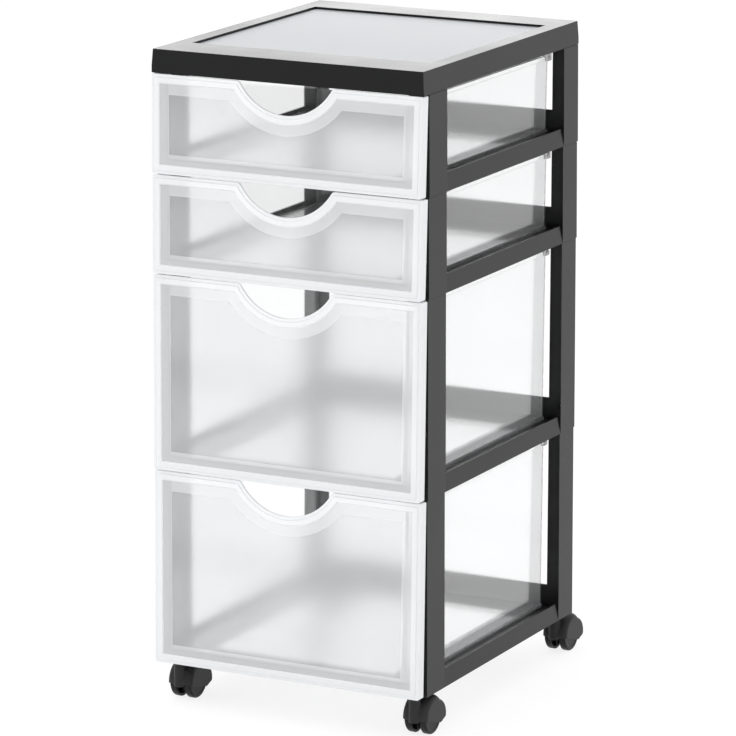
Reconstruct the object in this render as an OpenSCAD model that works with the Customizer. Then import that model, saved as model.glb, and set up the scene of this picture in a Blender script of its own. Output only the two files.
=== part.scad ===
// Plastic drawer tower: four open frames stacked on one another, a lid with a panel let into it,
// four clear drawers that slide on the frames' ledges, and four twin-wheel casters.
// The origin lies on the floor, midway between the two sides and between the foremost and rearmost points.
// +X is the tower's right side as seen from the front, and the drawers open towards -Y.

/* [Lid] */
// Width of the lid at its lower edge
lid_w = 306; // [290:1:330]
// Depth of the lid at its lower edge
lid_d = 364; // [344:1:400]
// Height of the lid
lid_h = 24; // [18:1:32]
// How far each side of the lid leans in towards its top
lid_draft = 1.5; // [0.5:0.1:2.5]
// Wall of the lid
lid_wall = 2.4; // [1.8:0.1:3]
// Radius of the lid's upright corners
lid_corner_r = 1.5; // [1:0.5:6]
// Border beside the panel, at the left and right
lid_side_border = 17; // [12:1:24]
// Border in front of the panel
lid_front_border = 52; // [40:1:70]
// Border behind the panel
lid_back_border = 44; // [30:1:60]
// How far the panel's face lies below the border
panel_recess = 2.4; // [1:0.1:4]
// Thickness of the panel
panel_t = 2.2; // [1.6:0.1:3]
// Width of the seat that carries the panel
panel_seat = 6; // [4:0.5:9]
// Gap round the panel in its window
panel_gap = 0.4; // [0.2:0.1:1]

/* [Frames] */
// Height of one shallow tier
shallow_pitch = 103; // [85:1:130]
// Height of one deep tier
deep_pitch = 205; // [160:1:240]
// How far the frame's foot stands out past the lid on each side
frame_foot = 0.5; // [0:0.1:1]
// How far a post leans in from its foot to its top
post_draft = 1; // [0.5:0.1:2.5]
// Width of a post across the tower
post_w = 14; // [12:0.5:18]
// Depth of a front post along the tower
front_post_d = 40; // [30:1:52]
// Depth of a rear post along the tower
rear_post_d = 35; // [28:1:48]
// Distance from the lid's front face to the front posts
post_setback = 13; // [11:0.5:18]
// Distance from the rear posts to the lid's back face
post_back_inset = 1; // [0.5:0.5:5]
// Wall of the frames
frame_wall = 2.2; // [1.8:0.1:2.8]
// Height of the side rails
rail_h = 18.5; // [16:0.5:24]
// How far a side rail's top leans in from its foot
rail_lean = 2.4; // [1:0.1:5]
// How far the ledge lies below the side rail's top
ledge_drop = 4; // [2:0.5:6]
// Distance from the frame's outer side to the ledge's inner edge
ledge_w = 44; // [34:1:60]
// Depth of the ledge's turned-down inner edge
ledge_lip = 9; // [5:0.5:11]
// Depth of the front rail from front to back
front_rail_d = 19; // [14:1:26]
// Height of the rear rail
rear_rail_h = 37; // [28:1:50]
// Height of the groove on the outside between a post and the frame or lid above
seam_gap = 0.6; // [0.3:0.1:1]
// Depth of that groove
seam_depth = 1.2; // [0.5:0.1:1.6]
// Height of the plug on top of each post
plug_h = 8; // [5:0.5:10]
// Clearance of a plug in the post above
plug_gap = 0.3; // [0.2:0.05:0.5]
// Radius of the stop hole in each ledge
ledge_hole_r = 2.6; // [1.5:0.1:4]
// Distance of the stop hole inside the posts' inner face
ledge_hole_in = 10; // [8:0.5:14]
// Distance of the stop hole behind the middle of the lid
ledge_hole_back = 36; // [-60:1:90]

/* [Drawers] */
// Gap between one drawer front and the next
front_gap = 1.4; // [1.2:0.1:3]
// How far a drawer front's top stands out past the lid
front_proud = 0.5; // [0:0.1:2]
// How far a drawer front's foot leans out past its top
front_lean = 3; // [0.5:0.1:4]
// How far a drawer front's top ends inside the lid's side
front_side_gap = 0.5; // [0.2:0.1:2]
// How far each side of a drawer front leans in towards its foot
front_draft = 0.8; // [0:0.1:2]
// Thickness of the drawer front
front_t = 2.4; // [1.8:0.1:3]
// Depth of the edge that is turned back all round the drawer front
front_return = 12; // [8:0.5:12]
// Wall of the turned-back edge
return_wall = 2; // [1.4:0.1:3]
// Width of the flat rim outside the raised band
rim_w = 3.4; // [2:0.1:6]
// Width of the raised band
band_w = 5.9; // [3:0.1:8]
// Height of the raised band
band_h = 0.9; // [0.4:0.1:1.5]
// Depth of the finger scoop
scoop_depth = 31; // [20:1:36]
// Radius of the finger scoop
scoop_r = 60; // [50:1:75]
// Rounding of the scoop's upper ends
scoop_fillet = 5; // [3:0.5:8]
// Wall of the drawer's tub
tub_wall = 1.8; // [1.4:0.1:2.6]
// Gap between the tub and the posts at the tub's top
tub_side_gap = 2.6; // [2.2:0.1:4]
// How far the tub's sides and back lean in towards its floor
tub_draft = 1; // [0.5:0.1:3]
// Radius of the tub's lower corners
tub_corner_r = 4; // [3:0.5:9]
// Gap between the tub and the rear rail
tub_back_gap = 3; // [2.5:0.5:10]
// Gap between the tub's top and the frame or lid above
tub_top_gap = 7; // [4:0.5:12]
// Gap between the tub's floor and the ledges that it slides on
glide_gap = 0.3; // [0.2:0.05:0.5]
// How far the tub's top flange stands out
flange_w = 1.7; // [1:0.1:1.9]
// Height of the tub's top flange
flange_t = 4.5; // [2:0.1:6]
// How far the runner round the tub's foot stands out
runner_w = 1.2; // [0.8:0.1:1.9]
// Height of that runner
runner_h = 3; // [2:0.1:5]
// How far the stop lugs reach up past the frame above's foot
lug_catch = 2; // [1:0.1:3]
// How far the stop lugs reach down below the tub's top
lug_drop = 6.5; // [4:0.5:10]
// Length of a stop lug
lug_l = 8; // [5:0.5:14]
// Width of a stop lug
lug_w = 5; // [3:0.5:7]

/* [Casters] */
// Height of the lowest frame's foot above the floor
caster_h = 46; // [45:0.5:52]
// Distance from a stem to the frame's outer side
stem_inset_x = 17.5; // [16:0.5:26]
// Distance from a stem to the frame's front or back
stem_inset_y = 7; // [6.5:0.5:20]
// Distance from the stem back to the wheels' axle
trail = 19; // [17:0.5:21]
// Radius of a wheel
wheel_r = 19; // [17:0.5:19.5]
// Width of one wheel
wheel_w = 6.8; // [6:0.1:10]
// Rounding of a wheel's outer edge
wheel_edge = 2.1; // [1:0.1:3]
// Thickness of the housing's web between the wheels
web_t = 10; // [9.6:0.1:13]
// Gap between a wheel and the web or the fender's side
wheel_side_gap = 0.5; // [0.4:0.1:1]
// Gap between a wheel's rim and the fender
fender_gap = 0.8; // [0.6:0.1:1.4]
// Thickness of the fender over the wheels
fender_t = 2.5; // [2.3:0.1:3]
// Thickness of the fender's closed sides
fender_side_t = 1.2; // [1:0.1:2]
// Rounding of the fender's shoulders, towards the axle
fender_round = 6; // [4:0.5:6.5]
// How far the fender's rear lip stands out past the fender
fender_lip = 5.7; // [4:0.1:7]
// Radius of that lip
lip_r = 18.5; // [17:0.5:20]
// Distance of the lip's centre below the axle
lip_drop = 3.3; // [2:0.1:5]
// Height of the fender's lower edge above the floor, at its front
fender_low_front = 18.6; // [17.6:0.1:20]
// Height of the fender's lower edge above the floor, at its lowest
fender_low = 8.5; // [7:0.5:11]
// Height of the fender's lower edge above the floor, at its rear lip
fender_low_back = 13.5; // [12:0.5:15]
// Distance of the lowest point of that edge behind the axle
fender_low_y = 14; // [10:0.5:17]
// Height of the web's and the neck's foot above the floor
web_foot = 16; // [14.5:0.5:17]
// Radius of the axle
axle_r = 2; // [1.5:0.1:2.5]
// Radial clearance of a wheel on the axle
axle_gap = 0.05; // [0.03:0.01:0.09]
// Cap that closes a wheel's bore at its outer face
wheel_cap = 1.3; // [1:0.1:2]
// Radius of the stem inside the housing
stem_r = 3.5; // [2.8:0.1:3.6]
// Radial clearance of the stem in the housing
stem_gap = 0.05; // [0.03:0.01:0.09]
// Wall of the housing round the stem
neck_wall = 2.4; // [1.8:0.1:3]
// Radius of the stem inside the frame's socket
stem_top_r = 4; // [3.7:0.1:4.5]
// Radius of the collar that the frame stands on
collar_r = 6; // [5:0.1:7]
// Thickness of that collar
collar_t = 1; // [0.8:0.1:1.5]
// Gap between the collar and the housing below it
collar_gap = 0.3; // [0.2:0.05:0.5]
// Wall of the socket round the stem
socket_wall = 2.2; // [1.6:0.1:3]
// How tightly the stem and the axle are pressed in, on the radius
press = 0.01; // [0.005:0.005:0.03]

/* [Hidden] */
$fn = 64;
// Overshoot of a cut past the faces that it opens
cut = 1;
// A length past the whole tower, for half spaces
far = 2000;
// Lap of one arc over the next where two arcs would only just touch
arc_lap = 0.01;
// Smallest rounding at the ends of the finger scoop
least_fillet = 0.5;
// Segments in each rounded corner of a tub's section, of a wheel's edge and of a fender's shoulder
corner_steps = 6;
// Ribs inside a wheel, and their thickness
rib_count = 6;
rib_t = 1.2;

black_plastic = [0.13, 0.13, 0.14];
pearl_plastic = [0.90, 0.91, 0.93];
clear_plastic = [0.92, 0.95, 0.97, 0.45];
caster_plastic = [0.16, 0.16, 0.17];
steel = [0.70, 0.71, 0.73];

// Heights of the tiers' feet, from the top tier down
tier_pitch = [shallow_pitch, shallow_pitch, deep_pitch, deep_pitch];
lid_z = caster_h + 2 * shallow_pitch + 2 * deep_pitch;
tier_z = [
    lid_z - shallow_pitch,
    lid_z - 2 * shallow_pitch,
    lid_z - 2 * shallow_pitch - deep_pitch,
    caster_h
];

// Outer side of the frames at a foot, and inner side of the posts
frame_half = lid_w / 2 + frame_foot;
post_in = frame_half - post_w;

// Outer side of a post at a height above its foot
function post_side(pitch, z) = frame_half - post_draft * z / pitch;

// The fender's inner and outer radius round the axle, and its lip's reach behind the axle
fender_in_r = wheel_r + fender_gap;
fender_r = fender_in_r + fender_t;
caster_reach = fender_r + fender_lip;

// Places along Y: the tower's depth runs from the drawer fronts' feet to the rear casters' lips
front_reach = front_proud + front_lean + band_h;
back_reach = trail + caster_reach - stem_inset_y - post_back_inset;
total_d = front_reach + lid_d + back_reach;
lid_front = front_reach - total_d / 2;
lid_back = lid_front + lid_d;
lid_mid = (lid_front + lid_back) / 2;
frame_front = lid_front + post_setback;
frame_back = lid_back - post_back_inset;
rear_rail_front = frame_back - rear_post_d + frame_wall;

// Where the posts begin and end along Y, front and rear
POSTS = [[frame_front, frame_front + front_post_d], [frame_back - rear_post_d, frame_back]];

// The ledge that a drawer slides on, above its tier's foot
ledge_z = rail_h - ledge_drop;
ledge_in = frame_half - ledge_w;

// Stems and wheels
stem_x = frame_half - stem_inset_x;
stem_y_front = frame_front + stem_inset_y;
stem_y_rear = frame_back - stem_inset_y;
wheel_in = web_t / 2 + wheel_side_gap;
wheel_out = wheel_in + wheel_w;
caster_half = wheel_out + wheel_side_gap + fender_side_t;
housing_top = caster_h - collar_t - collar_gap;
stem_foot = wheel_r + axle_r + neck_wall;
socket_h = ledge_z - frame_wall;
socket_depth = socket_h - frame_wall / 2;

// The drawers' tubs
tub_top_half = post_in - tub_side_gap;
tub_back = rear_rail_front - tub_back_gap;
front_face = lid_front - front_proud;
front_half = lid_w / 2 - front_side_gap;

// A flat shape drawn in X and Z, extruded along Y from y0 to y1
module along_y(y0, y1) {
    translate([0, y1, 0]) rotate([90, 0, 0]) linear_extrude(y1 - y0) children();
}

// A flat shape drawn in Y and Z, extruded along X from x0 to x1
module along_x(x0, x1) {
    translate([x0, 0, 0]) rotate([90, 0, 90]) linear_extrude(x1 - x0) children();
}

// The same part on both sides of the tower
module both_sides() {
    children();
    mirror([1, 0, 0]) children();
}

// A box given by its two opposite corners
module box(low, high) {
    translate(low) cube(high - low);
}

// ---- Lid ----

// The lid's outside with straight leaning sides, smaller by inset all round
module lid_block(inset, height) {
    w = lid_w / 2 - inset;
    y0 = lid_front + inset;
    y1 = lid_back - inset;
    r = lid_corner_r;
    intersection() {
        along_y(y0, y1)
            polygon([[-w, 0], [w, 0], [w - lid_draft, height], [lid_draft - w, height]]);
        along_x(-w, w)
            polygon([[y0, 0], [y1, 0], [y1 - lid_draft, height], [y0 + lid_draft, height]]);
        linear_extrude(height) union() {
            translate([-w, y0 + r]) square([2 * w, y1 - y0 - 2 * r]);
            translate([r - w, y0]) square([2 * (w - r), y1 - y0]);
            for (x = [r - w, w - r], y = [y0 + r, y1 - r]) translate([x, y]) circle(r);
        }
    }
}

// The window for the panel, as a flat shape, smaller by inset all round
module lid_window(inset) {
    half = lid_w / 2 - lid_draft - lid_side_border - inset;
    translate([-half, lid_front + lid_front_border + inset])
        square([2 * half, lid_d - lid_front_border - lid_back_border - 2 * inset]);
}

module lid_frame() {
    seat_top = lid_h - panel_recess - panel_t;
    pocket_x0 = post_in + frame_wall;
    color(black_plastic) translate([0, 0, lid_z]) union() {
        // Border and skirt, open below, with the panel's window cut through
        difference() {
            lid_block(0, lid_h);
            translate([0, 0, -cut]) lid_block(lid_wall, lid_h - lid_wall + cut);
            translate([0, 0, lid_h / 2]) linear_extrude(lid_h) lid_window(0);
        }
        // Upright wall round the window, and the seat below the panel
        difference() {
            translate([0, 0, seat_top - lid_wall])
                linear_extrude(lid_h - seat_top + lid_wall - lid_wall / 2) lid_window(-lid_wall);
            translate([0, 0, seat_top]) linear_extrude(lid_h) lid_window(0);
            translate([0, 0, seat_top - lid_wall - cut])
                linear_extrude(lid_h) lid_window(panel_seat);
        }
        // Cross rib that the top drawer's lugs stop against
        box([-post_in, frame_front + front_rail_d - frame_wall, 0],
            [post_in, frame_front + front_rail_d, lid_h - lid_wall / 2]);
        // Walls that hold the plugs of the top frame's posts
        both_sides() for (post = POSTS) difference() {
            box([post_in, post[0], 0], [lid_w / 2 - lid_wall, post[1], lid_h - lid_wall / 2]);
            box([pocket_x0, post[0] + frame_wall, -cut],
                [lid_w / 2, post[1] - frame_wall, lid_h - lid_wall / 2 + cut]);
        }
    }
}

module lid_panel() {
    color(pearl_plastic) translate([0, 0, lid_z + lid_h - panel_recess - panel_t])
        linear_extrude(panel_t) lid_window(panel_gap);
}

// ---- Frames ----

// One right-hand post from y0 to y1: a channel open inwards, closed at its top, with a plug on it
module post(pitch, y0, y1) {
    // The plug stays clear of the leaning wall above it, be it a post's or the lid's
    lid_in = lid_w / 2 - lid_wall - lid_draft * (plug_h + cut) / (lid_h - lid_wall);
    plug_out = min(post_side(shallow_pitch, plug_h) - post_draft - frame_wall, lid_in) - plug_gap;
    channel_top = pitch - frame_wall;
    seam_z = pitch - seam_gap;
    seam_x = post_side(pitch, seam_z) - seam_depth;
    difference() {
        along_y(y0, y1) polygon([
            [post_in, 0],
            [post_side(pitch, 0), 0],
            [post_side(pitch, seam_z), seam_z],
            [seam_x, seam_z],
            [seam_x, pitch],
            [post_in, pitch]
        ]);
        along_y(y0 + frame_wall, y1 - frame_wall) polygon([
            [post_in - cut, -cut],
            [post_side(pitch, -cut) - frame_wall, -cut],
            [post_side(pitch, channel_top) - frame_wall, channel_top],
            [post_in - cut, channel_top]
        ]);
    }
    // Inner wall of the foot, which closes the channel round the plug below
    box([post_in, y0, 0], [post_in + frame_wall, y1, socket_h]);
    // Plug for the frame or lid above
    box([post_in + frame_wall + plug_gap, y0 + frame_wall + plug_gap, pitch - frame_wall / 2],
        [plug_out, y1 - frame_wall - plug_gap, pitch + plug_h]);
}

// Right-hand side rail with its ledge, as a flat shape in X and Z
module rail_outline() {
    top_x = frame_half - rail_lean;
    web_x = frame_half - rail_lean * (ledge_z - frame_wall) / rail_h;
    polygon([
        [frame_half, 0],
        [top_x, rail_h],
        [top_x - frame_wall, rail_h],
        [top_x - frame_wall, ledge_z],
        [ledge_in, ledge_z],
        [ledge_in, ledge_z - ledge_lip],
        [ledge_in + frame_wall, ledge_z - ledge_lip],
        [ledge_in + frame_wall, ledge_z - frame_wall],
        [web_x - frame_wall, ledge_z - frame_wall],
        [frame_half - frame_wall, 0]
    ]);
}

// A cross rail that is open below, from front to back in Y and up to height
module cross_rail(y0, y1, height) {
    along_x(-post_in - frame_wall, post_in + frame_wall) difference() {
        translate([y0, 0]) square([y1 - y0, height]);
        translate([y0 + frame_wall, -cut])
            square([y1 - y0 - 2 * frame_wall, height - frame_wall + cut]);
    }
}

// The rear rail: a low cross rail with a thin wall that stands up along its front
module rear_rail() {
    low = ledge_z - frame_wall;
    y0 = rear_rail_front;
    y1 = frame_back;
    along_x(-post_in - frame_wall, post_in + frame_wall) polygon([
        [y0, 0],
        [y0 + frame_wall, 0],
        [y0 + frame_wall, low - frame_wall],
        [y1 - frame_wall, low - frame_wall],
        [y1 - frame_wall, 0],
        [y1, 0],
        [y1, low],
        [y0 + frame_wall, low],
        [y0 + frame_wall, rear_rail_h],
        [y0, rear_rail_h]
    ]);
}

// One frame in its own height, with sockets for the casters' stems if it is the lowest
module tier_frame(pitch, sockets) {
    ledge_y0 = frame_front + front_rail_d - frame_wall;
    difference() {
        union() {
            both_sides() {
                for (post = POSTS) post(pitch, post[0], post[1]);
                along_y(POSTS[0][1] - frame_wall, POSTS[1][0] + frame_wall) rail_outline();
                // The ledge beside the front post, between the two cross rails
                box([ledge_in, ledge_y0, ledge_z - frame_wall],
                    [post_in + frame_wall / 2, POSTS[0][1], ledge_z]);
                box([ledge_in, ledge_y0, ledge_z - ledge_lip],
                    [ledge_in + frame_wall, POSTS[0][1], ledge_z]);
            }
            cross_rail(frame_front, frame_front + front_rail_d, ledge_z - frame_wall);
            rear_rail();
            if (sockets) both_sides() for (y = [stem_y_front, stem_y_rear])
                translate([stem_x, y, 0]) cylinder(r = stem_top_r + socket_wall, h = socket_h);
        }
        both_sides() translate([post_in - ledge_hole_in, lid_mid + ledge_hole_back, 0])
            cylinder(r = ledge_hole_r, h = rail_h);
        if (sockets) both_sides() for (y = [stem_y_front, stem_y_rear])
            translate([stem_x, y, -cut])
                cylinder(r = stem_top_r - press, h = socket_depth + cut);
    }
}

module placed_frame(n) {
    color(black_plastic) translate([0, 0, tier_z[n]]) tier_frame(tier_pitch[n], n == 3);
}

// ---- Drawers ----

// The drawer front's outline with its finger scoop, its top at 0, smaller by inset all round
module front_outline(front_h, inset) {
    top_half = front_half - inset;
    foot_half = front_half - front_draft - inset;
    centre_up = scoop_r - scoop_depth;
    r = max(scoop_fillet - inset, least_fillet);
    // The rounding's circle laps a little over the scoop's, so that the two arcs cross cleanly
    reach = scoop_r + inset + r - arc_lap;
    fillet_x = sqrt(pow(reach, 2) - pow(centre_up + inset + r, 2));
    corner_x = sqrt(pow(scoop_r + inset, 2) - pow(centre_up + inset, 2));
    // A point on the line between the two circles' centres, well inside the scoop
    inside = (scoop_r + inset - cut) / reach;
    difference() {
        polygon([
            [-foot_half, inset - front_h],
            [foot_half, inset - front_h],
            [top_half, -inset],
            [-top_half, -inset]
        ]);
        translate([0, centre_up]) circle(scoop_r + inset, $fn = 128);
        for (side = [-1, 1]) difference() {
            polygon([
                [side * fillet_x, cut - inset],
                [side * (corner_x - cut), cut - inset],
                [side * fillet_x * inside, centre_up - (centre_up + inset + r) * inside],
                [side * fillet_x, -inset - r]
            ]);
            translate([side * fillet_x, -inset - r]) circle(r);
        }
    }
}

// Everything behind a plane that lies depth behind the leaning drawer front
module behind_front(pitch, depth) {
    on_front(pitch) translate([-far / 2, depth, -far / 2]) cube(far);
}

// How far a drawer front leans out at its foot, as an angle
function front_angle(pitch) = asin(front_lean / (pitch - front_gap));

// Puts what is drawn round the drawer front's upper edge on the leaning front
module on_front(pitch) {
    translate([0, front_face, pitch - front_gap / 2]) rotate([-front_angle(pitch), 0, 0]) children();
}

// The drawer front: a plate with a raised band
module front_plate(pitch) {
    front_h = pitch - front_gap;
    on_front(pitch) union() {
        along_y(0, front_t) front_outline(front_h, 0);
        along_y(-band_h, front_t / 2) difference() {
            front_outline(front_h, rim_w);
            front_outline(front_h, rim_w + band_w);
        }
    }
}

// The edge that is turned back all round the plate
module front_edge(pitch) {
    front_h = pitch - front_gap;
    on_front(pitch) along_y(front_t / 2, front_return) difference() {
        front_outline(front_h, 0);
        front_outline(front_h, return_wall);
    }
}

// Points along an arc round the centre (x, z) from angle a0 to angle a1
function arc_points(x, z, r, a0, a1, steps) =
    [for (i = [0 : steps]) let (a = a0 + (a1 - a0) * i / steps) [x + r * cos(a), z + r * sin(a)]];

// A flat shape with leaning sides and rounded lower corners: half widths, heights and radius
module tub_section(top_half, foot_half, z0, z1, r) {
    polygon(concat(
        [[-top_half, z1]],
        arc_points(r - foot_half, z0 + r, r, 180, 270, corner_steps),
        arc_points(foot_half - r, z0 + r, r, 270, 360, corner_steps),
        [[top_half, z1]]
    ));
}

// The tub's inside or outside, smaller by inset, from the drawer front to its back
module tub_block(pitch, inset, z1) {
    z0 = ledge_z + glide_gap + inset;
    r = tub_corner_r - inset;
    front = front_face - front_lean + inset;
    back = tub_back - inset;
    // How much wider the leaning walls are at z1 than at the tub's own top
    tub_top = pitch - tub_top_gap;
    spread = tub_draft * (z1 - tub_top) / (tub_top - ledge_z - glide_gap);
    intersection() {
        along_y(front_face - front_lean, tub_back)
            tub_section(tub_top_half - inset + spread, tub_top_half - tub_draft - inset, z0, z1, r);
        along_x(-tub_top_half, tub_top_half) polygon(concat(
            [[front, z1]],
            arc_points(front + r, z0 + r, r, 180, 270, corner_steps),
            arc_points(back - tub_draft - r, z0 + r, r, 270, 360, corner_steps),
            [[back + spread, z1]]
        ));
        // The inside begins nearer the plate's face, so that no two faces share a plane
        behind_front(pitch, inset > 0 ? front_t / 4 : front_t / 2);
    }
}

module drawer(pitch) {
    tub_top = pitch - tub_top_gap;
    tub_foot = ledge_z + glide_gap;
    runner_half = tub_top_half - tub_draft + runner_w;
    lug_top = pitch + lug_catch;
    union() {
        front_plate(pitch);
        // The tub and the turned-back edge, hollowed together up to the plate
        difference() {
            union() {
                front_edge(pitch);
                tub_block(pitch, 0, tub_top);
                intersection() {
                    union() {
                        // Flange along the top of the sides and the back
                        box([-tub_top_half - flange_w, front_face, tub_top - flange_t],
                            [tub_top_half + flange_w, tub_back + flange_w, tub_top]);
                        // Runner along the foot of the sides and the back
                        box([-runner_half, front_face - front_lean, tub_foot],
                            [runner_half, tub_back - tub_draft + runner_w, tub_foot + runner_h]);
                    }
                    behind_front(pitch, front_t / 2);
                }
            }
            tub_block(pitch, tub_wall, pitch);
        }
        // Lugs that stop the drawer at the end of its travel
        both_sides() box([tub_top_half - lug_w, tub_back - lug_l, tub_top - lug_drop],
            [tub_top_half + flange_w, tub_back + flange_w, lug_top]);
    }
}

module placed_drawer(n) {
    color(clear_plastic) translate([0, 0, tier_z[n]]) drawer(tier_pitch[n]);
}

// ---- Casters ----

// Where a caster's stem stands: side is -1 for left, end is 0 for front and 1 for rear
module at_caster(side, end) {
    translate([side * stem_x, end == 0 ? stem_y_front : stem_y_rear, 0]) children();
}

// Steel stem: pressed into the frame's socket, with a collar, and turning in the housing
module stem(side, end) {
    color(steel) at_caster(side, end) union() {
        translate([0, 0, stem_foot]) cylinder(r = stem_r, h = caster_h - stem_foot);
        translate([0, 0, caster_h - collar_t]) cylinder(r = collar_r, h = collar_t);
        // The pin ends a little short of the socket's closed end
        translate([0, 0, caster_h - collar_t])
            cylinder(r = stem_top_r, h = socket_depth + collar_t - collar_gap);
    }
}

// A disc as wide as the caster, with shoulders rounded over round_w along X and round_h towards its axis
module domed_disc(r, round_w, round_h) {
    shoulder = [for (i = [0 : corner_steps]) let (a = 90 * i / corner_steps)
        [r - round_h * (1 - cos(a)), caster_half - round_w * (1 - sin(a))]];
    rotate([0, 90, 0]) rotate_extrude() polygon(concat(
        [[0, -caster_half]],
        [for (i = [corner_steps : -1 : 0]) [shoulder[i][0], -shoulder[i][1]]],
        shoulder,
        [[0, caster_half]]
    ));
}

// The fender about the axle: two domed discs above an edge that slopes down and rises to the lip
module fender() {
    low_front = fender_low_front - wheel_r;
    low_back = fender_low_back - wheel_r;
    intersection() {
        union() {
            domed_disc(fender_r, caster_half - web_t / 2, fender_round);
            translate([0, caster_reach - lip_r, -lip_drop])
                domed_disc(lip_r, fender_round, fender_round / 2);
        }
        along_x(-2 * caster_half, 2 * caster_half) polygon([
            [-2 * caster_reach, low_front],
            [-fender_r, low_front],
            [fender_low_y, fender_low - wheel_r],
            [caster_reach, low_back],
            [2 * caster_reach, low_back],
            [2 * caster_reach, 2 * fender_r],
            [-2 * caster_reach, 2 * fender_r]
        ]);
    }
}

// Housing: a web between the wheels, a fender closed at its sides over them, and a neck round the stem
module housing(side, end) {
    neck_r = stem_r + stem_gap + neck_wall;
    pocket_w = wheel_w + 2 * wheel_side_gap;
    color(caster_plastic) at_caster(side, end) difference() {
        union() {
            translate([0, trail, wheel_r]) fender();
            // The web's front foot and the neck, a little below the fender's edge
            intersection() {
                translate([0, trail, wheel_r])
                    along_x(-web_t / 2, web_t / 2) circle(fender_r - fender_t / 2);
                box([-web_t, -trail, web_foot], [web_t, trail, wheel_r + fender_in_r / 2]);
            }
            translate([0, 0, web_foot]) cylinder(r = neck_r, h = housing_top - web_foot);
        }
        // Pockets for the wheels, one on each side of the web
        for (turn = [0, 1]) mirror([turn, 0, 0]) translate([web_t / 2, trail, wheel_r])
            rotate([0, 90, 0]) rotate_extrude() polygon([
                [0, 0],
                [fender_in_r, 0],
                [fender_in_r, pocket_w - wheel_edge],
                [fender_in_r - wheel_edge, pocket_w],
                [0, pocket_w]
            ]);
        translate([0, 0, stem_foot - neck_wall / 2])
            cylinder(r = stem_r + stem_gap, h = caster_h);
        translate([-web_t, trail, wheel_r]) rotate([0, 90, 0])
            cylinder(r = axle_r - press, h = 2 * web_t);
    }
}

// Steel axle: pressed through the web, with a wheel on each end
module axle(side, end) {
    half = wheel_out - wheel_cap - axle_gap * 4;
    color(steel) at_caster(side, end) translate([-half, trail, wheel_r])
        rotate([0, 90, 0]) cylinder(r = axle_r, h = 2 * half);
}

// A wheel's blank, round its own axis: a rounded outer edge and a dished outer face
module wheel_blank() {
    dish = 0.5;
    dish_r = wheel_r - 2 * wheel_edge;
    hub_r = 2 * axle_r;
    rotate_extrude() polygon(concat(
        [[0, 0], [wheel_r, 0]],
        arc_points(wheel_r - wheel_edge, wheel_w - wheel_edge, wheel_edge, 0, 90, corner_steps),
        [
            [dish_r, wheel_w],
            [dish_r - dish, wheel_w - dish],
            [hub_r, wheel_w - dish],
            [hub_r - dish, wheel_w],
            [0, wheel_w]
        ]
    ));
}

// A wheel: hollowed from its inner face between rim and hub, with ribs, and a blind bore for the axle
module wheel(side, end, which) {
    rim_t = 2.6;
    hub_r = axle_r + axle_gap + rim_t;
    hollow_r = wheel_r - rim_t;
    hollow_d = wheel_w - rim_t;
    color(caster_plastic) at_caster(side, end) translate([0, trail, wheel_r])
        mirror([which == 0 ? 1 : 0, 0, 0]) translate([wheel_in, 0, 0]) rotate([0, 90, 0])
            difference() {
                wheel_blank();
                difference() {
                    translate([0, 0, -cut]) cylinder(r = hollow_r, h = hollow_d + cut);
                    translate([0, 0, -2 * cut]) cylinder(r = hub_r, h = wheel_w);
                    for (i = [0 : rib_count - 1]) rotate([0, 0, 360 * i / rib_count])
                        translate([0, -rib_t / 2, -2 * cut]) cube([wheel_r, rib_t, wheel_w]);
                }
                translate([0, 0, -cut])
                    cylinder(r = axle_r + axle_gap, h = wheel_w - wheel_cap + cut);
            }
}

lid_frame();
lid_panel();
placed_frame(0);  // tier_frame_1
placed_frame(1);  // tier_frame_2
placed_frame(2);  // tier_frame_3
placed_frame(3);  // tier_frame_4
placed_drawer(0);  // drawer_1
placed_drawer(1);  // drawer_2
placed_drawer(2);  // drawer_3
placed_drawer(3);  // drawer_4
stem(-1, 0);  // stem_front_left
stem(1, 0);  // stem_front_right
stem(-1, 1);  // stem_rear_left
stem(1, 1);  // stem_rear_right
housing(-1, 0);  // housing_front_left
housing(1, 0);  // housing_front_right
housing(-1, 1);  // housing_rear_left
housing(1, 1);  // housing_rear_right
axle(-1, 0);  // axle_front_left
axle(1, 0);  // axle_front_right
axle(-1, 1);  // axle_rear_left
axle(1, 1);  // axle_rear_right
wheel(-1, 0, 0);  // wheel_front_left_a
wheel(-1, 0, 1);  // wheel_front_left_b
wheel(1, 0, 0);  // wheel_front_right_a
wheel(1, 0, 1);  // wheel_front_right_b
wheel(-1, 1, 0);  // wheel_rear_left_a
wheel(-1, 1, 1);  // wheel_rear_left_b
wheel(1, 1, 0);  // wheel_rear_right_a
wheel(1, 1, 1);  // wheel_rear_right_b
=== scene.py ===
from math import pi, radians

import bmesh
import bpy
import numpy as np
from mathutils import Matrix, Vector


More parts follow.
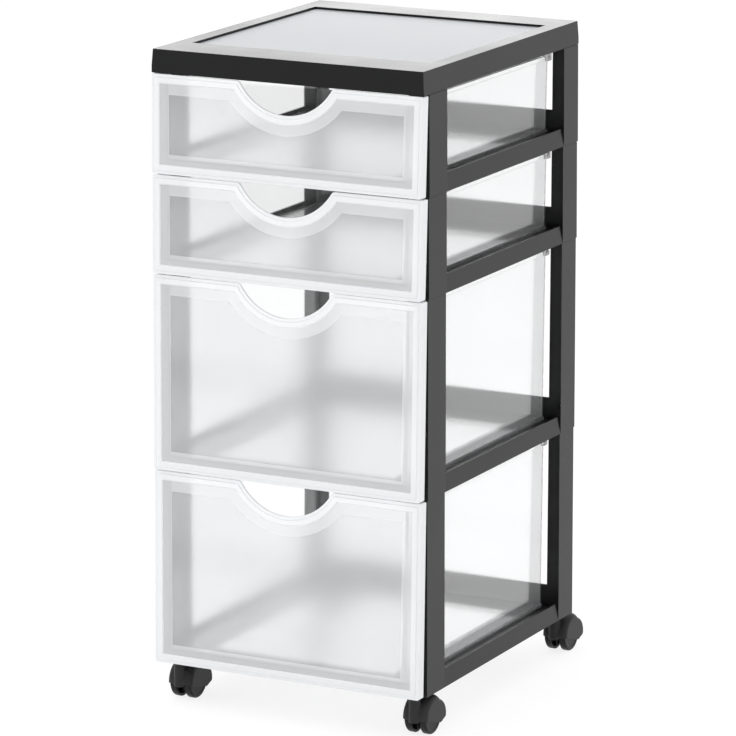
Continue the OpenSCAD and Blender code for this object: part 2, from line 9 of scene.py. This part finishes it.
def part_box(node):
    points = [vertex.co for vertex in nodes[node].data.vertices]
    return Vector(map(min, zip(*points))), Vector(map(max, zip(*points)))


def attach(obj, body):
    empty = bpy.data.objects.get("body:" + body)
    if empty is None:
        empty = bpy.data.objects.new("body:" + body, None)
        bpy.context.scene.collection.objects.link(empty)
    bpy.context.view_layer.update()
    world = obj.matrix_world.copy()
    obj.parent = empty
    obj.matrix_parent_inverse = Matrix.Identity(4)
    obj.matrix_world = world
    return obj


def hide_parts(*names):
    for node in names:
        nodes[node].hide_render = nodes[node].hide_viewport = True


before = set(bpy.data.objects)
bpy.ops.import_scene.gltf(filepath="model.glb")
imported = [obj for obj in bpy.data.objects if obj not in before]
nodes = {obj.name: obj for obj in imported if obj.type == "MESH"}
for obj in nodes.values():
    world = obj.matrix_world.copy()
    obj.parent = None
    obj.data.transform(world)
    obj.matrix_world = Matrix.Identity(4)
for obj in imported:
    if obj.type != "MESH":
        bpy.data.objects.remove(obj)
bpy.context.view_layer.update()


# ---- Lid ----
# The lid is one black polypropylene moulding: a flat border, a skirt that leans in towards the top,
# and a window with a seat for the panel. It plugs onto the posts of the top frame.

def add(tree, kind, sockets=None, **settings):
    """A new node in tree; a socket's entry is a value, or another node's output that is linked to it."""
    made = tree.nodes.new(kind)
    for name, value in settings.items():
        setattr(made, name, value)
    for name, value in (sockets or {}).items():
        if isinstance(value, bpy.types.NodeSocket):
            tree.links.new(value, made.inputs[name])
        else:
            made.inputs[name].default_value = value
    return made


def new_group(name, inputs, outputs):
    """An empty node group with its named inputs (name, kind, default) and outputs (name, kind)."""
    group = bpy.data.node_groups.new(name, "ShaderNodeTree")
    for label, kind, default in inputs:
        socket = group.interface.new_socket(label, in_out="INPUT", socket_type=kind)
        socket.default_value = default
    for label, kind in outputs:
        group.interface.new_socket(label, in_out="OUTPUT", socket_type=kind)
    return group, group.nodes.new("NodeGroupInput"), group.nodes.new("NodeGroupOutput")


def moulded_grain():
    """Fine spark-eroded grain, with broad patches where the tool's texture is a little smoother.
    Height is fine noise; roughness and tone are the given values times one plus spread times broad noise."""
    group, given, result = new_group(
        "moulded grain",
        [("Tone", "NodeSocketColor", (0.5, 0.5, 0.5, 1)), ("Roughness", "NodeSocketFloat", 0.4),
         ("Spread", "NodeSocketFloat", 0.15), ("Grains per metre", "NodeSocketFloat", 1500)],
        [("Tone", "NodeSocketColor"), ("Roughness", "NodeSocketFloat"), ("Height", "NodeSocketFloat")])
    place = add(group, "ShaderNodeTexCoord").outputs["Object"]
    fine = add(group, "ShaderNodeTexNoise",
               {"Vector": place, "Scale": given.outputs["Grains per metre"], "Detail": 2.0})
    broad = add(group, "ShaderNodeTexNoise", {"Vector": place, "Scale": 9.0, "Detail": 3.0})
    patch = add(group, "ShaderNodeMapRange",
                {"Value": broad.outputs["Fac"], "From Min": 0.3, "From Max": 0.7,
                 "To Min": -1.0, "To Max": 1.0})
    change = add(group, "ShaderNodeMath",
                 {0: patch.outputs["Result"], 1: given.outputs["Spread"], 2: 1.0},
                 operation="MULTIPLY_ADD")
    rough = add(group, "ShaderNodeMath",
                {0: given.outputs["Roughness"], 1: change.outputs[0]}, operation="MULTIPLY")
    tone = add(group, "ShaderNodeVectorMath",
               {0: given.outputs["Tone"], "Scale": change.outputs[0]}, operation="SCALE")
    group.links.new(tone.outputs["Vector"], result.inputs["Tone"])
    group.links.new(rough.outputs[0], result.inputs["Roughness"])
    group.links.new(fine.outputs["Fac"], result.inputs["Height"])
    return group


GRAIN = moulded_grain()


def grained_plastic(name, tone, roughness, spread, grains, depth, **finish):
    """A moulded plastic with the grain group in colour, roughness and bump; finish sets the shader's
    own sockets."""
    made = bpy.data.materials.new(name)
    made.use_nodes = True
    tree = made.node_tree
    shader = tree.nodes["Principled BSDF"]
    grain = add(tree, "ShaderNodeGroup", node_tree=GRAIN)
    for label, value in (("Tone", (*tone, 1)), ("Roughness", roughness), ("Spread", spread),
                         ("Grains per metre", grains)):
        grain.inputs[label].default_value = value
    bump = add(tree, "ShaderNodeBump", {"Height": grain.outputs["Height"], "Distance": depth})
    tree.links.new(grain.outputs["Tone"], shader.inputs["Base Color"])
    tree.links.new(grain.outputs["Roughness"], shader.inputs["Roughness"])
    tree.links.new(bump.outputs["Normal"], shader.inputs["Normal"])
    for label, value in finish.items():
        shader.inputs[label.replace("_", " ")].default_value = value
    return made


def flat_faces(piece):
    """Normals weighted by the faces' areas, so that flat faces stay flat up to their rounded edges."""
    weighting = piece.modifiers.new("flat faces", "WEIGHTED_NORMAL")
    weighting.keep_sharp = True


def rounded_copy(name, source, radius):
    """A merged copy of a CAD solid: its flat triangles are joined to whole faces, and every edge
    sharper than 30 degrees is rounded with the given radius."""
    shape = bmesh.new()
    shape.from_mesh(nodes[source].data)
    bmesh.ops.remove_doubles(shape, verts=shape.verts, dist=2e-6)
    bmesh.ops.dissolve_limit(shape, angle_limit=radians(0.4), verts=shape.verts, edges=shape.edges)
    shape.verts.index_update()
    mesh = bpy.data.meshes.new(name)
    mesh.from_pydata([v.co for v in shape.verts], [],
                     [[v.index for v in face.verts] for face in shape.faces])
    shape.free()
    mesh.shade_smooth()
    piece = bpy.data.objects.new(name, mesh)
    bpy.context.collection.objects.link(piece)
    rounding = piece.modifiers.new("rounded edges", "BEVEL")
    rounding.width = radius
    rounding.segments = 2
    rounding.limit_method = "ANGLE"
    rounding.angle_limit = radians(30)
    flat_faces(piece)
    return piece


black_plastic = grained_plastic("black polypropylene", (0.0062, 0.0064, 0.0068), 0.30, 0.10, 2600, 1.5e-5,
                                Specular_IOR_Level=0.28)

lid = rounded_copy("lid_border", "lid_frame", 0.0006)
lid.data.materials.append(black_plastic)
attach(lid, "frame")
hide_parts("lid_frame")


# ---- Lid panel ----
# A thin pearly white plate that lies loose on the lid's seat, a little below the border.
# It is moulded through one point in its middle, which leaves a small round gate mark.

def lofted(rings):
    """Vertices and faces of a closed skin over rings, an array (rings, points, 3): four-sided faces
    between neighbouring rings, and one flat face over the first ring and one over the last."""
    count, around = rings.shape[:2]
    first = np.arange(count - 1)[:, None] * around
    here = np.arange(around)
    after = (here + 1) % around
    quads = np.stack([first + here, first + after, first + around + after, first + around + here], -1)
    faces = quads.reshape(-1, 4).tolist()
    ends = [here[::-1].tolist(), (here + (count - 1) * around).tolist()]
    return rings.reshape(-1, 3), faces + ends


def new_piece(name, points, faces, crease=30):
    """An object at the origin from points and faces, smooth except over edges sharper than crease degrees."""
    mesh = bpy.data.meshes.new(name)
    mesh.from_pydata(points, [], faces)
    shape = bmesh.new()
    shape.from_mesh(mesh)
    bmesh.ops.recalc_face_normals(shape, faces=shape.faces)
    shape.to_mesh(mesh)
    shape.free()
    mesh.shade_smooth()
    mesh.set_sharp_from_angle(angle=radians(crease))
    piece = bpy.data.objects.new(name, mesh)
    bpy.context.collection.objects.link(piece)
    return piece


def rounded_rectangle(low_x, high_x, low_y, high_y, radius, steps=6):
    """Points round a rectangle with rounded corners: each corner's centre plus radius times (cos, sin)."""
    turn = np.linspace(0, pi / 2, steps + 1)
    angle = np.concatenate([turn + k * pi / 2 for k in range(4)])
    right = np.repeat([1, 0, 0, 1], steps + 1)
    back = np.repeat([1, 1, 0, 0], steps + 1)
    x = np.where(right, high_x - radius, low_x + radius) + radius * np.cos(angle)
    y = np.where(back, high_y - radius, low_y + radius) + radius * np.sin(angle)
    return np.stack([x, y], -1)


panel_low, panel_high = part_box("lid_panel")
panel_corner = 0.0030
panel_edge = 0.0005
gate_x, gate_y = 0.010, -0.036


def panel_ring(inset, z):
    """The panel's outline moved in by inset, at height z."""
    flat = rounded_rectangle(panel_low.x + inset, panel_high.x - inset, panel_low.y + inset,
                             panel_high.y - inset, panel_corner)
    return np.column_stack([flat, np.full(len(flat), z)])


def gate_ring(radius, z):
    """A circle round the gate mark with as many points as the outline."""
    angle = np.linspace(0, 2 * pi, 28, endpoint=False) + pi / 28
    return np.column_stack([gate_x + radius * np.cos(angle), gate_y + radius * np.sin(angle),
                            np.full(28, z)])


panel_rings = [panel_ring(panel_edge, panel_low.z), panel_ring(0, panel_low.z + panel_edge),
               panel_ring(0, panel_high.z - panel_edge),
               panel_ring(panel_edge * 0.3, panel_high.z - panel_edge * 0.3),
               panel_ring(panel_edge, panel_high.z)]
border, centre = panel_ring(panel_edge, panel_high.z), gate_ring(0.0022, panel_high.z)
panel_rings += [border + (centre - border) * t for t in (0.02, 0.1, 0.3, 0.6, 0.85, 1.0)]
panel_rings += [gate_ring(0.0018, panel_high.z - 0.00012), gate_ring(0.0013, panel_high.z - 0.00012),
                gate_ring(0.0009, panel_high.z - 0.00002), gate_ring(0.0003, panel_high.z)]
panel = new_piece("lid_panel_plate", *lofted(np.array(panel_rings)))
flat_faces(panel)
panel.data.materials.append(
    grained_plastic("pearl plastic", (0.40, 0.41, 0.43), 0.42, 0.04, 900, 6e-6, Specular_IOR_Level=0.35))
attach(panel, "frame")
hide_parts("lid_panel")


# ---- Frames ----
# Four black frames, each moulded in one piece: hollow posts, a leaning side rail with a ledge for the
# drawer on each side, and a rail in front and behind. Each plugs onto the posts of the one below.

for tier in (1, 2, 3, 4):
    tier_frame = rounded_copy(f"frame_moulding_{tier}", f"tier_frame_{tier}", 0.0004)
    tier_frame.data.materials.append(black_plastic)
    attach(tier_frame, "frame")
    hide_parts(f"tier_frame_{tier}")


# ---- Drawers ----
# Each drawer is one clear polypropylene moulding. Its front has a flat rim, a raised band, a milkier margin
# and a frosted field, and the tub behind it has a flange along its top, a runner round its foot and two
# stop lugs.

shallow_pitch, deep_pitch = 0.103, 0.205
half_tub = 0.1369
front_gap = 0.0014
front_lean = 0.003
front_draft = 0.0008
front_thick = 0.0024
front_return = 0.012
front_rounding = 0.0016
plain_half = 0.1357
rim_width = 0.0034
band_width = 0.0059
band_height = 0.0009
scoop_depth = 0.031
scoop_radius = 0.060
scoop_rounding = 0.005
tub_wall = 0.0018
tub_draft = 0.001
tub_rounding = 0.004
tub_top_gap = 0.007
flange_out = 0.0017
flange_high = 0.0045
runner_out = 0.0012
runner_high = 0.003
lug_long, lug_wide, lug_drop = 0.008, 0.005, 0.0065
tub_floor_up = 0.0148


def front_outline(inset, height, half_top):
    """The front's outline moved in by inset (rows) as (x, z) round it, its top at 0. The right half is
    the foot, a corner, the side, a corner, the top edge, an end rounding and half the scoop's arc;
    the left half is its mirror image. The rounding's circle touches the scoop's, so that with R and r
    their radii, its centre lies where (R + r) squared is x squared plus the height between centres
    squared."""
    inset = np.asarray(inset, float)[:, None]
    half_top = half_top - inset
    half_foot = half_top - front_draft
    top, foot = -inset, inset - height
    lift = scoop_radius - scoop_depth
    big = scoop_radius + inset
    small = np.maximum(scoop_rounding - inset, 0.0006)
    rise = lift + inset + small
    end_x = np.sqrt((big + small) ** 2 - rise ** 2)
    meet = np.arctan2(rise, end_x)
    corner = np.maximum(front_rounding - 0.12 * inset, 0.0003)
    bend = np.linspace(0, pi / 2, 5)
    foot_share = np.array([0, 0.45, 0.9])
    side_share = np.array([0.05, 0.35, 0.65, 0.95])
    top_x = np.minimum([plain_half + 0.0005, plain_half - 0.0005, 0.115, 0.085],
                       half_top - corner - [0.0003, 0.0006, 0.0009, 0.0012])
    arc = np.linspace(0, 1, 9)
    sweep = np.linspace(0, 1, 25)[1:]
    at_end = pi / 2 + arc * (pi / 2 - meet)
    at_scoop = -meet - sweep * (pi / 2 - meet)
    x = np.hstack([half_foot * foot_share, half_foot - corner + corner * np.sin(bend),
                   half_foot + front_draft * side_share, half_top - corner + corner * np.cos(bend),
                   top_x, end_x + small * np.cos(at_end), big * np.cos(at_scoop)])
    z = np.hstack([foot + 0 * foot_share, foot + corner - corner * np.cos(bend),
                   foot + (top - foot) * side_share, top - corner + corner * np.sin(bend),
                   top + 0 * top_x, top - small + small * np.sin(at_end), lift + big * np.sin(at_scoop)])
    x = np.hstack([x, -x[:, -2:0:-1]])
    z = np.hstack([z, z[:, -2:0:-1]])
    return x, z


# Rows across the front, each with its inset and depth: from the frosted field over its milkier margin,
# which reaches in to the tub's inner corners, the raised band and the rim, round the edge, and back over
# the returned edge to the back of the field. The last table is for the top and the scoop, where the
# edge isn't returned: there a point's place in the band's row lies within plain_half of the middle.
field_in = rim_width + band_width
margin_in = 0.0205
band_row = 1
face_rows = [
    (margin_in, 0), (field_in + 0.0004, 0), (field_in + 0.0001, 0.0002), (field_in - 0.0003, -0.0006),
    (field_in - 0.0008, -band_height), (rim_width + 0.0008, -band_height),
    (rim_width + 0.0003, -0.0007), (rim_width + 0.0001, 0.0003), (rim_width - 0.0002, 0.0004),
    (rim_width - 0.0005, 0), (0.0006, 0), (0.0002, 0.0002), (0, 0.0006)]
return_rows = [
    (0, front_return - 0.0005), (0.0002, front_return - 0.0001), (0.0005, front_return),
    (0.0015, front_return), (0.0018, front_return - 0.0001), (0.002, front_return - 0.0005),
    (0.002, front_thick + 0.0007), (0.0022, front_thick + 0.0002), (0.0027, front_thick),
    (field_in, front_thick)]
plain_rows = [
    (0, front_thick - 0.0005), (0.0001, front_thick - 0.0002), (0.0005, front_thick),
    (0.0009, front_thick), (0.0013, front_thick), (0.0016, front_thick), (0.0019, front_thick),
    (0.0023, front_thick), (0.0027, front_thick), (field_in, front_thick)]


def front_skin(pitch, face_y, half_top):
    """Rings (x, y, z) of the front for one pitch, its tier's foot at 0. A point of the outline lies at
    its row's depth behind the face, and the whole is turned about the top edge until the foot leans out."""
    height = pitch - front_gap
    with_return = np.array(face_rows + return_rows)
    without = np.array(face_rows + plain_rows)
    x, z = front_outline(with_return[:, 0], height, half_top)
    x_plain, z_plain = front_outline(without[:, 0], height, half_top)
    plain = (np.abs(x[band_row]) < plain_half) & (z[band_row] > -height / 2)
    x = np.where(plain, x_plain, x)
    z = np.where(plain, z_plain, z)
    depth = np.where(plain, without[:, 1:], with_return[:, 1:])
    lean = np.arcsin(front_lean / height)
    y = depth * np.cos(lean) + z * np.sin(lean)
    z = z * np.cos(lean) - depth * np.sin(lean)
    return np.stack([x, face_y + y, pitch - front_gap / 2 + z], -1)


def tub_skin(pitch, face_y, back_y, half_top):
    """Rings (x, y, z) of the tub, from its underside over the runner, up its outside, over the flange and
    down its inside. Each level is a rectangle with rounded corners whose sides lean out with height;
    the inner rounding moves in by r (1 - sin a) as it rises by r (1 - cos a). The front wall lies inside
    the front's plate, and its top dips to follow the scoop."""
    top = pitch - tub_top_gap
    floor = tub_floor_up
    turn = np.linspace(0, pi / 2, 7)
    inner_r = tub_rounding - tub_wall
    # Each row: 1 if it hangs from the top and 0 if not, its drop below the top, its inset, and its height
    # where it doesn't hang from the top
    low = [(0, 0, 0.0010, floor), (0, 0, 0.0008 - runner_out, floor),
           (0, 0, 0.0002 - runner_out, floor + 0.0002), (0, 0, -runner_out, floor + 0.0006),
           (0, 0, -runner_out, floor + runner_high - 0.0005),
           (0, 0, 0.0002 - runner_out, floor + runner_high - 0.0001),
           (0, 0, 0.0005 - runner_out, floor + runner_high), (0, 0, -0.0001, floor + runner_high + 0.0001),
           (0, 0, 0, floor + runner_high + 0.0005)]
    up = [(1, flange_high + 0.0008, 0, 0), (1, flange_high, -0.0003, 0),
          (1, flange_high - 0.0002, -flange_out + 0.0003, 0), (1, flange_high - 0.0005, -flange_out, 0),
          (1, 0.0005, -flange_out, 0), (1, 0.0001, -flange_out + 0.0003, 0), (1, 0, -flange_out + 0.0008, 0),
          (1, 0, tub_wall - 0.0005, 0), (1, 0.0002, tub_wall - 0.0001, 0), (1, 0.0006, tub_wall, 0)]
    inner = [(0, 0, tub_wall + inner_r * (1 - np.sin(a)), floor + tub_wall + inner_r * (1 - np.cos(a)))
             for a in turn[::-1]]
    hangs, drop, inset, set_z = np.array(low + up + inner).T[:, :, None]
    along = np.linspace(-1, 1, 61)
    quarter = np.linspace(0, pi / 2, 8)[1:]
    angle = np.concatenate([0 * along, quarter, pi / 2 + np.append(0, quarter),
                            pi + np.append(0, quarter), 1.5 * pi + np.append(0, quarter[:-1])]) - pi / 2
    reach = np.concatenate([along, np.ones(7), np.ones(8), -np.ones(8), -np.ones(7)])
    at_front = np.concatenate([np.ones(68), np.zeros(16), np.ones(7)]) > 0
    in_front = np.concatenate([np.ones(61), np.zeros(30)]) > 0
    lift = scoop_radius - scoop_depth
    guess_x = reach * (half_top - 0.006)
    dip = lift - np.sqrt(np.maximum((scoop_radius + 0.004) ** 2 - guess_x ** 2, 0))
    dip = np.where(in_front & (dip < 0), dip, 0)
    high = np.minimum(top, pitch - front_gap / 2 + dip)
    z = np.where(hangs > 0, high - drop, set_z + 0 * high)
    rise = (z - floor) / (top - floor)
    inset = np.where(at_front & (inset < 0), 0, inset)
    corner = np.where(at_front, 0.005, 0.007)
    radius = np.maximum(corner - np.maximum(inset, -flange_out), 0.0008)
    half = half_top - tub_draft + tub_draft * rise - inset - radius
    lean = front_lean / (pitch - front_gap)
    front = face_y + 0.0005 + (z - pitch + front_gap / 2) * lean + inset * 0.9
    back = back_y - tub_draft + tub_draft * rise - inset
    x = reach * half + radius * np.cos(angle)
    y = np.where(at_front, front + radius, back - radius) + radius * np.sin(angle)
    return np.stack([x, y, z], -1)


def lug_skin(side, pitch, back_y, half_top):
    """Rings of one stop lug: a rounded rectangle from below the flange to above it, smaller at its ends."""
    outer, inner = side * (half_top + flange_out - 0.0001), side * (half_top - lug_wide)
    rear = back_y + flange_out - 0.0001
    low, high = pitch - tub_top_gap - lug_drop, pitch + 0.002
    rings = []
    for inset, z in ((0.0005, low), (0, low + 0.0005), (0, high - 0.0008), (0.0003, high - 0.0002),
                     (0.0008, high)):
        flat = rounded_rectangle(min(outer, inner) + inset, max(outer, inner) - inset,
                                 back_y - lug_long + inset, rear - inset, 0.0015)
        rings.append(np.column_stack([flat, np.full(len(flat), z)]))
    return np.array(rings)


def joined(base, others):
    """Base with the others fused onto it by exact Boolean union, as one mesh."""
    for other in others:
        union = base.modifiers.new("fused", "BOOLEAN")
        union.operation = "UNION"
        union.solver = "EXACT"
        union.object = other
    depsgraph = bpy.context.evaluated_depsgraph_get()
    mesh = bpy.data.meshes.new_from_object(base.evaluated_get(depsgraph))
    base.modifiers.clear()
    base.data = mesh
    for other in others:
        bpy.data.objects.remove(other)
    mesh.shade_smooth()
    mesh.set_sharp_from_angle(angle=radians(28))
    flat_faces(base)
    return base


def clear_plastic(name, tone, roughness, spread, grains, depth, passes, ior=1.45):
    """Translucent polypropylene: passes is the share of light that goes through it. Lamps' shadow rays
    go through as well, so that what lies behind it is lit."""
    made = grained_plastic(name, tone, roughness, spread, grains, depth,
                           IOR=ior, Transmission_Weight=passes)
    tree = made.node_tree
    open_way = add(tree, "ShaderNodeBsdfTransparent", {"Color": (0.94, 0.945, 0.95, 1)})
    path = add(tree, "ShaderNodeLightPath")
    mix = add(tree, "ShaderNodeMixShader",
              {0: path.outputs["Is Shadow Ray"], 1: tree.nodes["Principled BSDF"].outputs[0],
               2: open_way.outputs[0]})
    tree.links.new(mix.outputs[0], tree.nodes["Material Output"].inputs["Surface"])
    return made


band_plastic = clear_plastic("milky band", (0.965, 0.978, 0.990), 0.25, 0.01, 1500, 6e-6, 0.14)
margin_plastic = clear_plastic("milky margin", (0.960, 0.968, 0.980), 0.25, 0.02, 2200, 3e-6, 0.45)
field_plastic = clear_plastic("frosted field", (0.955, 0.962, 0.972), 0.20, 0.02, 2200, 3e-6, 0.73)
wall_plastic = clear_plastic("clear wall", (0.980, 0.983, 0.987), 0.07, 0.01, 40, 3e-6, 0.96)

for tier in (1, 2, 3, 4):
    low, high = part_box(f"drawer_{tier}")
    foot_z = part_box(f"tier_frame_{tier}")[0].z
    pitch = shallow_pitch if tier < 3 else deep_pitch
    face_y = low.y + band_height + front_lean
    back_y = high.y - flange_out
    shift = np.array([0, 0, foot_z])
    skin = front_skin(pitch, face_y, high.x)
    points, faces = lofted(skin + shift)
    drawer = new_piece(f"drawer_moulding_{tier}", points, faces)
    around = skin.shape[1]
    # The margin, then the band, the rim and the edge's outer side, and frosted all behind that
    part = np.ones(len(faces), np.int32)
    part[:around] = 3
    part[around:len(face_rows) * around] = 0
    plastics = (band_plastic, field_plastic, wall_plastic, margin_plastic)
    for material in plastics:
        drawer.data.materials.append(material)
    drawer.data.polygons.foreach_set("material_index", part)
    more = [new_piece("tub", *lofted(tub_skin(pitch, face_y, back_y, half_tub) + shift))]
    more += [new_piece("lug", *lofted(lug_skin(side, pitch, back_y, half_tub) + shift)) for side in (-1, 1)]
    for other, slot in zip(more, (2, 1, 1)):
        for material in plastics:
            other.data.materials.append(material)
        other.data.polygons.foreach_set(
            "material_index", np.full(len(other.data.polygons), slot, np.int32))
    joined(drawer, more)
    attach(drawer, f"drawer_{tier}_body")
    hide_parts(f"drawer_{tier}")


# ---- Casters ----
# Four twin-wheel casters: a steel stem pressed into the frame's foot, a black nylon housing with a hood
# over the wheels, a steel axle through its web, and a nylon wheel on each end of the axle.

caster_plastic = grained_plastic("caster nylon", (0.030, 0.030, 0.031), 0.36, 0.10, 1800, 1.5e-5,
                                 Specular_IOR_Level=0.14)
wheel_plastic = grained_plastic("wheel nylon", (0.022, 0.022, 0.023), 0.32, 0.12, 1400, 1e-5,
                                Specular_IOR_Level=0.12)
steel = grained_plastic("zinc plated steel", (0.62, 0.63, 0.65), 0.28, 0.2, 700, 1e-5, Metallic=1.0)

voxel = 0.0005
round_stem, round_axle = 0.0042, 0.0030
pocket_radius = 0.0202
pocket_inner, pocket_outer = 0.0048, 0.0131


def blended_copy(name, source, stem, axle):
    """A copy of a caster's housing whose outer corners and valleys flow into one another: it is remade of
    half-millimetre faces, and relaxed wherever it lies clear of the stem's bore, the wheels' pockets and
    the axle's bore. A point is in a pocket when it lies less than pocket_radius from the axle's line, and
    between pocket_inner and pocket_outer from the axle's middle along that line."""
    piece = rounded_copy(name, source, 0.0002)
    piece.modifiers.clear()
    remake = piece.modifiers.new("even faces", "REMESH")
    remake.mode = "VOXEL"
    remake.voxel_size = voxel
    remake.use_smooth_shade = True
    depsgraph = bpy.context.evaluated_depsgraph_get()
    piece.data = bpy.data.meshes.new_from_object(piece.evaluated_get(depsgraph))
    piece.modifiers.clear()
    place = np.empty(len(piece.data.vertices) * 3)
    piece.data.vertices.foreach_get("co", place)
    x, y, z = place.reshape(-1, 3).T
    from_stem = np.hypot(x - stem.x, y - stem.y)
    from_axle = np.hypot(y - axle.y, z - axle.z)
    along_axle = np.abs(x - axle.x)
    pocket = (from_axle < pocket_radius) & (along_axle > pocket_inner) & (along_axle < pocket_outer)
    free = (from_stem > round_stem) & (from_axle > round_axle) & ~pocket
    outside = piece.vertex_groups.new(name="outside")
    outside.add(np.flatnonzero(free).tolist(), 1.0, "REPLACE")
    relax = piece.modifiers.new("soft corners", "SMOOTH")
    relax.factor = 0.5
    relax.iterations = 9
    relax.vertex_group = "outside"
    return piece


for corner in ("front_left", "front_right", "rear_left", "rear_right"):
    stem_middle, axle_middle = [sum(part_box(f"{kind}_{corner}"), Vector()) / 2 for kind in ("stem", "axle")]
    hood = blended_copy(f"caster_hood_{corner}", f"housing_{corner}", stem_middle, axle_middle)
    hood.data.materials.append(caster_plastic)
    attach(hood, f"caster_{corner}")
    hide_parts(f"housing_{corner}")
    for kind in ("stem", "axle"):
        node = nodes[f"{kind}_{corner}"]
        node.data.materials.clear()
        node.data.materials.append(steel)
    for letter in "ab":
        wheel = rounded_copy(f"wheel_moulding_{corner}_{letter}", f"wheel_{corner}_{letter}", 0.0003)
        wheel.data.materials.append(wheel_plastic)
        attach(wheel, f"wheel_body_{corner}_{letter}")
        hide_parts(f"wheel_{corner}_{letter}")


# ---- Studio ----
# A plain white floor and surround, a broad soft light behind that glances off the lid, softer ones from
# the left and above, and the camera where the photograph was taken.

floor_mesh = bpy.data.meshes.new("studio_floor")
floor_mesh.from_pydata([(-40, -40, 0), (40, -40, 0), (40, 40, 0), (-40, 40, 0)], [], [(0, 1, 2, 3)])
floor = bpy.data.objects.new("studio_floor", floor_mesh)
bpy.context.collection.objects.link(floor)
floor_paint = bpy.data.materials.new("studio floor")
floor_paint.use_nodes = True
tree = floor_paint.node_tree
tree.nodes.clear()
matt = add(tree, "ShaderNodeBsdfDiffuse", {"Color": (0.9, 0.9, 0.9, 1)})
glow = add(tree, "ShaderNodeEmission", {"Color": (1, 1, 1, 1), "Strength": 1.1})
path = add(tree, "ShaderNodeLightPath")
seen = add(tree, "ShaderNodeMath", {0: path.outputs["Is Camera Ray"], 1: path.outputs["Is Glossy Ray"]},
           operation="MAXIMUM")
seen = add(tree, "ShaderNodeMath", {0: seen.outputs[0], 1: path.outputs["Is Transmission Ray"]},
           operation="MAXIMUM")
share = add(tree, "ShaderNodeMath", {0: seen.outputs[0], 1: 0.75}, operation="MULTIPLY")
surface = add(tree, "ShaderNodeMixShader",
              {0: share.outputs[0], 1: matt.outputs[0], 2: glow.outputs[0]})
add(tree, "ShaderNodeOutputMaterial", {"Surface": surface.outputs[0]})
floor_mesh.materials.append(floor_paint)

world = bpy.data.worlds.new("studio")
bpy.context.scene.world = world
world.use_nodes = True
tree = world.node_tree
tree.nodes.clear()
direction = add(tree, "ShaderNodeTexCoord").outputs["Generated"]
parts = add(tree, "ShaderNodeSeparateXYZ", {"Vector": direction})
mirrored = add(tree, "ShaderNodeMapRange",
               {"Value": parts.outputs["Y"], "From Min": -0.9, "From Max": 0.0,
                "To Min": 0.35, "To Max": 0.85})
path = add(tree, "ShaderNodeLightPath")
light = add(tree, "ShaderNodeMix",
            {0: path.outputs["Is Glossy Ray"], 2: 0.97, 3: mirrored.outputs["Result"]}, data_type="FLOAT")
seen = add(tree, "ShaderNodeMath",
           {0: path.outputs["Is Camera Ray"], 1: path.outputs["Is Transmission Ray"]}, operation="MAXIMUM")
strength = add(tree, "ShaderNodeMix", {0: seen.outputs[0], 2: light.outputs[0], 3: 1.0},
               data_type="FLOAT")
sky = add(tree, "ShaderNodeBackground", {"Color": (1, 1, 1, 1), "Strength": strength.outputs[0]})
add(tree, "ShaderNodeOutputWorld", {"Surface": sky.outputs[0]})


def softbox(name, place, aim, width, height, radiance):
    """A rectangular lamp at place that faces aim; its power is radiance times pi times its area."""
    data = bpy.data.lights.new(name, "AREA")
    data.shape = "RECTANGLE"
    data.size, data.size_y = width, height
    data.energy = radiance * pi * width * height
    lamp = bpy.data.objects.new(name, data)
    lamp.location = place
    lamp.rotation_euler = (Vector(aim) - Vector(place)).to_track_quat("-Z", "Y").to_euler()
    lamp.visible_camera = False
    lamp.visible_transmission = False
    bpy.context.collection.objects.link(lamp)
    return lamp


softbox("softbox behind", (-0.62, 1.25, 0.94), (-0.62, 0, 0.80), 1.4, 0.42, 2.2)
softbox("softbox left", (-2.2, -1.2, 1.6), (0, 0, 0.4), 1.6, 1.6, 1.0)
softbox("softbox above", (0.3, -0.4, 2.6), (0, 0, 0.5), 2.0, 2.0, 0.5)

azimuth, elevation, roll = radians(27.02), radians(13.15), radians(0.13)
backward = Vector((np.sin(azimuth) * np.cos(elevation), -np.cos(azimuth) * np.cos(elevation),
                   np.sin(elevation)))
level = Vector((np.cos(azimuth), np.sin(azimuth), 0))
upward = backward.cross(level)
right = level * np.cos(roll) + upward * np.sin(roll)
up = upward * np.cos(roll) - level * np.sin(roll)
eye = Vector((0, -0.0173, 0.330)) + backward * 4.96074 - right * 0.00029 + up * 0.00563
focal_pixels, picture_pixels = 4773.46, 736
lens = bpy.data.cameras.new("camera")
lens.sensor_width = 36
lens.lens = focal_pixels / picture_pixels * lens.sensor_width
camera = bpy.data.objects.new("camera", lens)
camera.matrix_world = Matrix.Translation(eye) @ Matrix((right, up, backward)).transposed().to_4x4()
bpy.context.collection.objects.link(camera)
bpy.context.scene.camera = camera
bpy.context.scene.view_settings.view_transform = "Standard"
